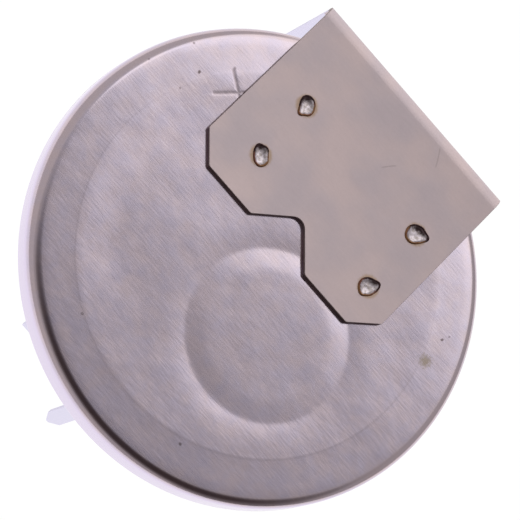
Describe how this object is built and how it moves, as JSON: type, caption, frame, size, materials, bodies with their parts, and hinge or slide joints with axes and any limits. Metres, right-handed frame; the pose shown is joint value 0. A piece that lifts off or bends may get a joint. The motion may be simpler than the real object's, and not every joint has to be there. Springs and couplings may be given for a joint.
{
  "type": "lithium coin cell with solder tabs",
  "caption": "Round lithium coin cell in a crimped steel can, with spot-welded solder tabs bent down to narrow pins for a circuit board.",
  "frame": {"origin": "on the cell's axis, in the plane of the pins' tips", "axes": "+X across the tabs, +Y from the cell's axis towards the positive tab's bend, +Z out of the positive face"},
  "size_m": [0.02, 0.0204, 0.0084],
  "materials": {
    "can_steel": "fine brushed grain, slightly dull",
    "cap_steel": "smooth, satin",
    "gasket_plastic": "natural, moulded",
    "grid_steel": "bare sheet",
    "cathode_mix": null,
    "separator_felt": "non-woven felt",
    "lithium": "soft dull metal; aluminium stands in for lithium",
    "tab_steel": "rolled sheet, satin, pins dipped in solder",
    "weld_metal": "remelted, with a brown heat tint"
  },
  "bodies": {
    "root": {"positive_can": "can_steel", "negative_cap": "cap_steel", "gasket": "gasket_plastic", "cathode_collector": "grid_steel", "cathode_pellet": "cathode_mix", "separator": "separator_felt", "lithium_anode": "lithium", "positive_tab": "tab_steel", "positive_tab_welds": "weld_metal", "negative_tab": "tab_steel", "negative_tab_welds": "weld_metal"}
  },
  "joints": []
}
